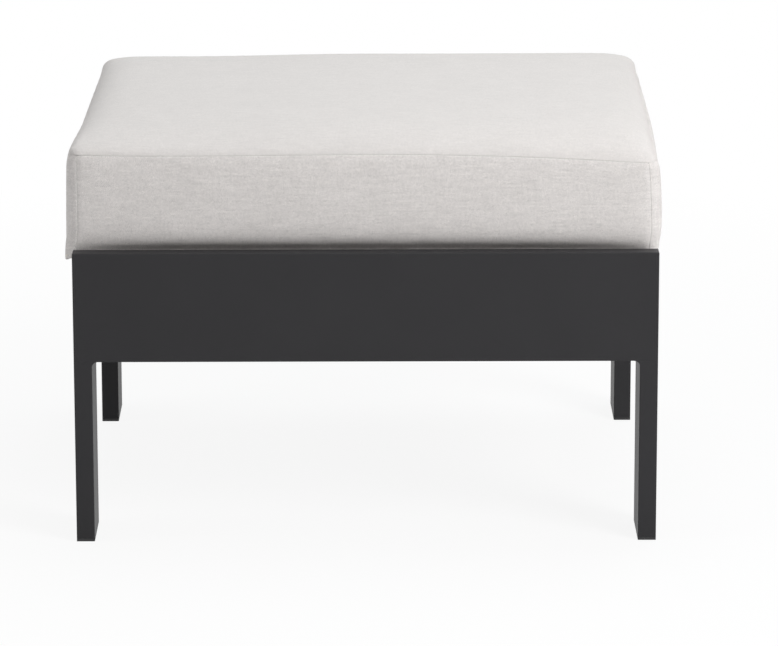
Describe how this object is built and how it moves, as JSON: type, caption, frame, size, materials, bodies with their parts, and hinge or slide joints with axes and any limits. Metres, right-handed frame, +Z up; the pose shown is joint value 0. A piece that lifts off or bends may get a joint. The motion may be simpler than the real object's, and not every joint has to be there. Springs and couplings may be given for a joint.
{
  "type": "ottoman",
  "caption": "Outdoor footstool: a welded flat-tube frame with a recessed slatted deck, and a loose crowned box cushion in a zipped fabric cover.",
  "frame": {"origin": "on the ground, under the middle of the frame", "axes": "+X to the right along the longer side, +Y to the back (the side with the zip), +Z up"},
  "size_m": [0.651, 0.59, 0.4563],
  "materials": {
    "frame": "charcoal powder coat, fine texture, satin to matt",
    "glide": "black moulded polyethylene, matt",
    "rivet": "painted blind rivet, satin",
    "cushion_fabric": "light warm grey heathered and slubbed plain weave",
    "foam": "open-cell polyurethane foam, matt",
    "zip_tape": "woven polyester tape",
    "zip_chain": "moulded acetal teeth",
    "zip_metal": "painted zinc casting, satin"
  },
  "bodies": {
    "frame": {"front_rail": "frame", "rear_rail": "frame", "left_side_rail": "frame", "right_side_rail": "frame", "front_left_end_plate": "frame", "front_right_end_plate": "frame", "rear_left_end_plate": "frame", "rear_right_end_plate": "frame", "front_left_leg": "frame", "front_right_leg": "frame", "rear_left_leg": "frame", "rear_right_leg": "frame", "front_left_glide": "glide", "front_right_glide": "glide", "rear_left_glide": "glide", "rear_right_glide": "glide", "middle_bearer": "frame", "front_slat_angle": "frame", "rear_slat_angle": "frame", "slat_1": "frame", "slat_2": "frame", "slat_3": "frame", "slat_4": "frame", "slat_5": "frame", "slat_6": "frame", "slat_7": "frame", "slat_8": "frame", "front_rivet_1": "rivet", "front_rivet_2": "rivet", "front_rivet_3": "rivet", "front_rivet_4": "rivet", "front_rivet_5": "rivet", "front_rivet_6": "rivet", "front_rivet_7": "rivet", "front_rivet_8": "rivet", "rear_rivet_1": "rivet", "rear_rivet_2": "rivet", "rear_rivet_3": "rivet", "rear_rivet_4": "rivet", "rear_rivet_5": "rivet", "rear_rivet_6": "rivet", "rear_rivet_7": "rivet", "rear_rivet_8": "rivet"},
    "cushion": {"cushion_top_panel": "cushion_fabric", "cushion_boxing": "cushion_fabric", "cushion_zip_panel": "cushion_fabric", "cushion_left_boxing": "cushion_fabric", "cushion_right_boxing": "cushion_fabric", "cushion_bottom_panel": "cushion_fabric", "foam_core": "foam", "zip_upper_tape": "zip_tape", "zip_lower_tape": "zip_tape", "zip_chain": "zip_chain"},
    "zip_slider": {"zip_slider": "zip_metal"},
    "zip_pull": {"zip_pull": "zip_metal"}
  },
  "joints": [
    {"name": "cushion_lift", "type": "slide", "parent": "frame", "child": "cushion", "axis": [0, 0, 1], "range_m": [0, 0.2]},
    {"name": "zip_slide", "type": "slide", "parent": "cushion", "child": "zip_slider", "axis": [-1, 0, 0], "range_m": [0, 0.481]},
    {"name": "zip_pull_swing", "type": "hinge", "parent": "zip_slider", "child": "zip_pull", "pos_m": [0.2407, 0.2765, 0.37255], "axis": [0, 0, -1], "range_deg": [0, 180]}
  ]
}
